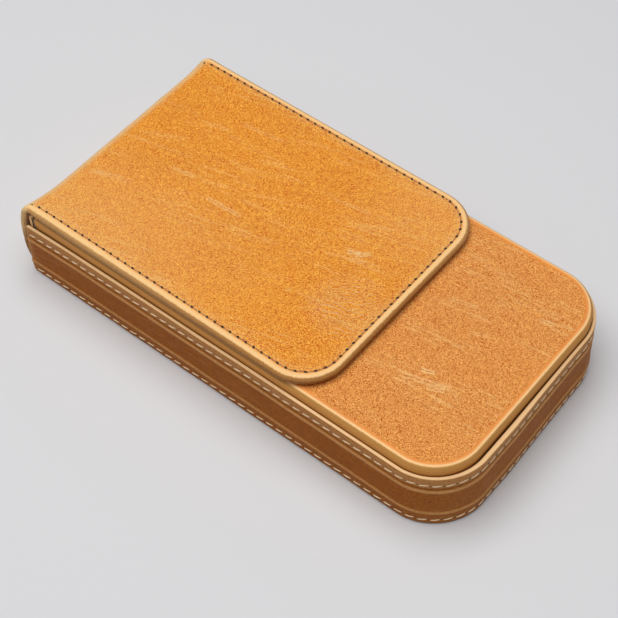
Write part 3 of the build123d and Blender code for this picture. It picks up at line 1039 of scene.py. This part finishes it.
def make_side_band():
    """The band: one strip of leather round the sleeve, creased twice, with cut edges."""
    section = metres(band_outer_section + band_inner_section)
    tone_heights, tones = zip(*band_tones)
    end_middle = 0.5 * MM
    upper_lip_points = 5
    end_rings = ((0.0, 0.35), (0.12 * MM, 0.8), (0.35 * MM, 1.0))
    base = sleeve_line(0.0, 1.5 * MM)
    straight = next(n for n, (_, normal) in enumerate(base) if abs(normal[0]) > 1e-9) - 1
    lengths = path_lengths([place for place, _ in base])
    last = len(base) - 1
    order = [(0, back, full) for back, full in end_rings]
    order += [(n, 0.0, 1.0) for n in range(1, last)]
    order += [(last, back, full) for back, full in end_rings[::-1]]
    points, flat, edge, wear_and_highlight = [], [], [], []
    for n, back, fullness in order:
        (x, y), normal = base[n]
        from_mouth = min(lengths[n], lengths[-1] - lengths[n])
        share = min(n, last - n) / straight
        for k, (inset, height) in enumerate(section):
            z = height - band_sag(from_mouth, height)
            if fullness < 1:
                inset = end_middle + (inset - end_middle) * fullness
            elif k < len(band_outer_section) - upper_lip_points:
                inset -= band_wave(lengths[n], height)
            px, py = x - normal[0] * inset, y - normal[1] * inset
            if share < 1:
                start = band_end_x(z) + back
                px = start + (base[straight][0][0] - start) * share
            points.append((px, py, z))
            flat.append((lengths[n], height, inset))
            from_end = from_mouth + back
            edge.append(min(band_high.z - height, from_end) if inset < 1.16 * MM else 3 * MM)
            tone = float(np.interp(height / MM, tone_heights, tones))
            tone += 0.1 * max(0.0, normal[0])
            wear_and_highlight.append(max(tone, 0.6 * math.exp(-from_end / (1.5 * MM))))
    points = np.array(points)
    depth = np.array(flat)[:, 2]
    points[:, 0] += end_swell(points) * (1 - 0.5 * np.clip(depth / (1.2 * MM), 0, 1))
    return make_piece(
        "side_band_leather",
        points,
        rows_faces(row_numbers(len(order), len(section)), closed=True),
        band_leather,
        flat=np.array(flat) * 1000 + band_grain_shift,
        edge=np.maximum(np.array(edge), 0) * 1000,
        wear_and_highlight=wear_and_highlight,
    )


# Tray


def rounded_section(low, high, radii):
    """(x, z) points and normals round a box with its own radius at each corner.

    radii are for the corners low-low, high-low, high-high and low-high.
    """
    corners = (
        ((low[0], low[1]), (1, 1), math.pi),
        ((high[0], low[1]), (-1, 1), 1.5 * math.pi),
        ((high[0], high[1]), (-1, -1), 0.0),
        ((low[0], high[1]), (1, -1), 0.5 * math.pi),
    )
    found = []
    for ((x, z), (into_x, into_z), start), radius in zip(corners, radii):
        centre = (x + into_x * radius, z + into_z * radius)
        for turn in np.linspace(start, start + math.pi / 2, 7):
            normal = (math.cos(turn), math.sin(turn))
            place = (centre[0] + radius * normal[0], centre[1] + radius * normal[1])
            found.append((place, normal))
    return found


def make_tray_face():
    """Leather cup of the tray's front, well rounded where it lies in the flap's fold."""
    low = (plate_low.x, plate_low.z)
    high = (plate_lining_low.x, plate_high.z)
    end_round = 0.8 * MM
    corners = rounded_section(low, high, (0.8 * MM, 0.2 * MM, 0.3 * MM, 2.3 * MM))
    section = []
    for (place, normal), (after, _) in zip(corners, corners[1:] + corners[:1]):
        gap = math.dist(place, after)
        pieces = max(1, round(gap / (2.0 * MM)))
        for n in range(pieces):
            t = n / pieces
            along = tuple(a + (b - a) * t for a, b in zip(place, after))
            section.append((along, normal))
    half = plate_high.y
    stations = [
        (half - end_round + end_round * math.sin(turn), end_round * (1 - math.cos(turn)))
        for turn in np.linspace(0, math.pi / 2, 6)
    ]
    inner = [(y, 0.0) for y in steps(-(half - end_round), half - end_round, 2.0 * MM)]
    stations = [(-y, shrink) for y, shrink in stations[::-1]] + inner[1:-1] + stations
    points = np.array(
        [
            (x - nx * shrink, y, z - nz * shrink)
            for y, shrink in stations
            for (x, z), (nx, nz) in section
        ]
    )
    faces = tube_faces(row_numbers(len(stations), len(section)))
    to_edge = np.minimum(half - np.abs(points[:, 1]), plate_high.z - points[:, 2])
    to_edge = np.minimum(to_edge, points[:, 2] - plate_low.z)
    front = points[:, 0] < plate_low.x + 0.2 * MM
    points[front, 0] += np.abs(ripple(points[front], 14 * MM, 0.10 * MM, 2.0))
    return make_piece(
        "tray_face_leather",
        points,
        faces,
        tray_leather,
        flat=points * 1000,
        edge=to_edge * 1000,
    )


def rounded_box(name, low, high, radius, material, spacing=2.5 * MM, soften=0.0):
    """A box with round edges, divided finely enough to carry slight unevenness."""
    low, high = np.array(low), np.array(high)
    form = bmesh.new()
    bmesh.ops.create_cube(form, size=1.0)
    size = high - low
    centre = (high + low) / 2
    for v in form.verts:
        v.co = centre + size * np.array(v.co)
    for axis, way in enumerate(np.eye(3)):
        cuts = int(size[axis] / spacing)
        for cut in range(1, cuts):
            geometry = form.verts[:] + form.edges[:] + form.faces[:]
            place = low + way * size * cut / cuts
            bmesh.ops.bisect_plane(form, geom=geometry, plane_co=place, plane_no=way)
    sharp = [e for e in form.edges if e.calc_face_angle(0) > 1.0]
    bmesh.ops.bevel(form, geom=sharp, offset=radius, segments=4, profile=0.5, affect="EDGES")
    if soften:
        waves = ripple([v.co for v in form.verts], 14 * MM, soften, 2.0)
        for v, wave in zip(form.verts, waves):
            v.co += v.normal * wave
    mesh = bpy.data.meshes.new(name)
    form.to_mesh(mesh)
    form.free()
    flat = np.array([v.co for v in mesh.vertices]) * 1000
    inner = np.minimum(flat / 1000 - low, high - flat / 1000)
    add_values(mesh, flat, np.sort(inner, axis=1)[:, 1] * 1000 + 1.5)
    mesh.shade_smooth()
    mesh.materials.append(material)
    return add_object(name, mesh)


def make_pen_bed():
    """Padded bed: five channels between soft ridges, crowned where nothing presses it."""
    pen_pitch = 16.5 * MM
    corner = 11.3 * MM
    channel_depth = 5.4 * MM
    half = bed_high.y
    runs = steps(bed_low.x, bed_high.x, 1.6 * MM)
    acrosses = steps(-half, half, 0.9 * MM)
    points = []
    for x in runs:
        into_corner = max(0.0, x - (bed_high.x - corner))
        reach = half - corner + math.sqrt(max(corner**2 - into_corner**2, 0))
        end = min(x - bed_low.x, bed_high.x - x)
        closed = 1 - math.exp(-max(end - 1.0 * MM, 0) / (1.2 * MM))
        near_end = 1 if x < 0 else float(eased(bed_high.x - x, 3 * MM, 8 * MM))
        for y in acrosses:
            place = y * reach / half
            phase = (place / pen_pitch) % 1.0
            channel = math.cos(math.pi * (phase if phase < 0.5 else 1 - phase)) ** 0.8
            side = 1 - math.exp(-max(reach - abs(place), 0) / (0.5 * MM))
            sunk = channel_depth * channel * near_end
            points.append((x, place, bed_high.z - sunk - (1 - closed * side) * 0.9 * MM))
    top_count = len(points)
    points += [(x, y, bed_low.z) for x, y, _ in points]
    rows = row_numbers(len(runs), len(acrosses))
    under = row_numbers(len(runs), len(acrosses), top_count)
    faces = rows_faces(rows) + rows_faces(under)
    for end in (0, -1):
        faces += rows_faces([rows[end], under[end]])
    for side in (0, -1):
        faces += rows_faces([[r[side] for r in rows], [u[side] for u in under]])
    points = np.array(points)
    points[:top_count, 2] += ripple(points[:top_count], 9 * MM, 0.22 * MM, 1.0)
    return make_piece("pen_bed_padding", points, faces, bed_suede, flat=points * 1000)


# Seams


def flap_seam(up):
    """Holes of the flap's seam on its outer (up 1) or inner (up -1) face.

    Returns (place, long direction of the slot, outward normal) of each hole.
    """
    path = []
    for (run, across), (nx, ny), side in panel_outline(
        flap_sheet_length, flap_half, flap_corner, 0.3 * MM
    ):
        from_start = run + flap_sheet_x - flap_seam_start
        if from_start < 0:
            continue
        inset = seam_inset(side)
        if abs(side) == 1.0:
            inset += (0.9 if side > 0 else -0.7) * MM * math.exp(-from_start / (2 * MM))
        path.append((run + nx * inset, across + ny * inset))
    path = np.array(path)
    lengths = path_lengths(path)
    count = int(round(lengths[-1] / flap_stitch_pitch))
    holes = []
    slant = math.radians(-26)
    probe = 0.1 * MM
    for n in range(count + 1):
        along = lengths[-1] * n / count
        here, ahead = (along_path(along + step, lengths, path) for step in (-probe / 2, probe / 2))
        middle, way = (here + ahead) / 2, (ahead - here) / np.linalg.norm(ahead - here)
        x = middle[0] + flap_sheet_x
        if up > 0:
            flat = np.array([[middle[0], middle[1], 0.0]])
            valley = -valley_depth * float(valley_share(x))
            height = valley + float(flap_surface(flat, np.array([front_seam_inset]))[0])
        else:
            height = -float(cover_thickness(x))
        slot = (
            way[0] * math.cos(slant) - way[1] * math.sin(slant),
            way[0] * math.sin(slant) + way[1] * math.cos(slant),
        )
        samples = np.array(
            [
                (middle[0], middle[1], height),
                (middle[0] + slot[0] * probe, middle[1] + slot[1] * probe, height),
                (middle[0], middle[1], height + up * probe),
            ]
        )
        placed = bent_strip(samples, upper_fold_radius, flap_top, 1)
        placed[:, 0] += spine_shift(samples, samples[:, 0])
        place, beyond, above = placed
        holes.append((place, beyond - place, above - place))
    return holes


def thread_spans(holes):
    """Stitches between neighbouring holes."""
    spans = []
    for (start, _, up_a), (end, _, up_b) in zip(holes, holes[1:]):
        spans.append((start, end, Vector(up_a).normalized() + Vector(up_b).normalized()))
    return spans


def band_seam(height):
    """Slanted stitches round the band at a height, as (start, end, outward normal)."""
    insets, heights = zip(*band_outer_section)
    inset = float(np.interp(height / MM, heights, insets))
    base = sleeve_line(inset * MM, 0.5 * MM)
    places = np.array([p for p, _ in base])
    normals = np.array([n for _, n in base])
    lengths = path_lengths(places)
    total = lengths[-1]
    margin = 0.5 * MM
    count = int(round((total - 2 * margin) / band_stitch_pitch))
    pitch = (total - 2 * margin) / count
    rise = 0.28 * MM
    spans = []
    for n in range(count):
        ends = []
        for step, lift in ((0.0, -rise), (band_stitch_length, rise)):
            along = margin + pitch * n + (pitch - band_stitch_length) / 2 + step
            x, y = along_path(along, lengths, places)
            nx, ny = along_path(along, lengths, normals)
            out = band_wave(along, height)
            z = height + lift - band_sag(min(along, total - along), height)
            x += end_swell(np.array([[x, y, z]]))[0]
            ends.append((Vector((x + nx * out, y + ny * out, z)), Vector((nx, ny, 0.0))))
        (start, up_a), (end, up_b) = ends
        spans.append((start, end, up_a + up_b))
    return spans


# Put the pieces together

flap_cover = make_flap_cover()
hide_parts("flap_leather", "flap_lining", "spine_leather", "spine_lining")
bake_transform(flap_cover)

back_cover = make_back_cover()
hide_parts("back_cover", "spine_leather", "spine_lining")
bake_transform(back_cover)

front_panel = make_front_cover()
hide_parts("front_cover")
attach(front_panel, "case")

side_band = make_side_band()
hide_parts("side_band")
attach(side_band, "case")

tray_face = make_tray_face()
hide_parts("tray_front_leather")
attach(tray_face, "tray")

pull_tab = rounded_box(
    "pull_tab_leather", tab_low, tab_high, 0.4 * MM, tray_leather, spacing=1.5 * MM
)
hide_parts("tray_pull_tab")
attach(pull_tab, "tray")

pen_bed = make_pen_bed()
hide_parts("pen_bed")
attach(pen_bed, "tray")

divider_thickness = 1.2 * MM
divider_sunk = 1.0 * MM
divider_pitch = (divider_high.y - divider_low.y - divider_thickness) / 3
for n in range(4):
    side = divider_low.y + n * divider_pitch
    divider = rounded_box(
        f"pen_divider_{n + 1}",
        (divider_low.x, side, divider_low.z - divider_sunk),
        (divider_high.x, side + divider_thickness, divider_high.z),
        0.55 * MM,
        bed_suede,
        soften=0.1 * MM,
    )
    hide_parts("slot_dividers")
    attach(divider, "tray")

for face, up in (("outside", 1), ("inside", -1)):
    holes = flap_seam(up)
    stitches = thread_row(
        f"flap_stitches_{face}",
        thread_spans(holes),
        flap_thread_radius,
        flap_thread_dip,
        tan_thread,
    )
    slots = hole_row(f"flap_stitch_hole_shade_{face}", holes, flap_hole_size, flap_hole_rise)
    for piece in (stitches, slots):
        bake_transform(piece)

for label, height in (("upper", band_upper_seam_z), ("lower", band_lower_seam_z)):
    spans = band_seam(height)
    stitches = thread_row(
        f"band_stitches_{label}", spans, band_thread_radius, band_thread_dip, cream_thread
    )
    ends = [(p, end - start, out) for start, end, out in spans for p in (start, end)]
    slots = hole_row(f"band_stitch_hole_shade_{label}", ends, band_hole_size, band_hole_rise)
    for piece in (stitches, slots):
        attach(piece, "case")

node_materials = {
    core_board: (
        "near_wall_core", "far_wall_core", "end_wall_core", "front_board", "back_board",
        "flap_board", "tray_front_board",
    ),
    inner_suede: ("front_lining", "back_lining", "wall_lining", "tray_front_lining"),
    tray_board: ("tray_base", "tray_near_rail", "tray_far_rail", "tray_end_wall"),
    magnet_steel: ("case_magnets", "flap_magnets"),
}
for material, names in node_materials.items():
    for name in names:
        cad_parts[name].data.materials[0] = material


# Table, light and camera

floor_mesh = bpy.data.meshes.new("table_top")
floor_half = 3.0
corner_signs = ((-1, -1), (1, -1), (1, 1), (-1, 1))
floor_corners = [(x * floor_half, y * floor_half, 0) for x, y in corner_signs]
floor_mesh.from_pydata(floor_corners, [], [(0, 1, 2, 3)])
floor = add_object("table_top", floor_mesh)
pale_table = Shader("pale_table").look({"Base Color": srgb(214, 214, 216), "Roughness": 0.9})
floor_mesh.materials.append(pale_table)

world = bpy.data.worlds.new("studio")
bpy.context.scene.world = world
world.use_nodes = True
world.node_tree.nodes["Background"].inputs["Color"].default_value = (1, 1, 1, 1)
world.node_tree.nodes["Background"].inputs["Strength"].default_value = 0.16

# One soft lamp above the case
lamp_place = Vector((-0.06, -0.12, 1.15))
lamp = bpy.data.lights.new("soft_box", "AREA")
lamp.shape = "SQUARE"
lamp.size = 1.15
lamp.energy = 15.2
holder = add_object("soft_box", lamp)
holder.location = lamp_place
holder.rotation_euler = (-lamp_place).to_track_quat("-Z", "Y").to_euler()

camera_data = bpy.data.cameras.new("photo_camera")
camera_data.sensor_width = camera_sensor_mm
camera_data.lens = camera_lens_mm
camera_data.clip_start = 0.01
camera = add_object("photo_camera", camera_data)
back = (camera_place - camera_target).normalized()
right = Vector((0, 0, 1)).cross(back).normalized()
up = back.cross(right)
rolled_right = right * math.cos(camera_roll) + up * math.sin(camera_roll)
rolled_up = up * math.cos(camera_roll) - right * math.sin(camera_roll)
turned = Matrix((rolled_right, rolled_up, back)).transposed().to_4x4()
camera.matrix_world = Matrix.Translation(camera_place) @ turned
bpy.context.scene.camera = camera
bpy.context.scene.view_settings.view_transform = "Standard"
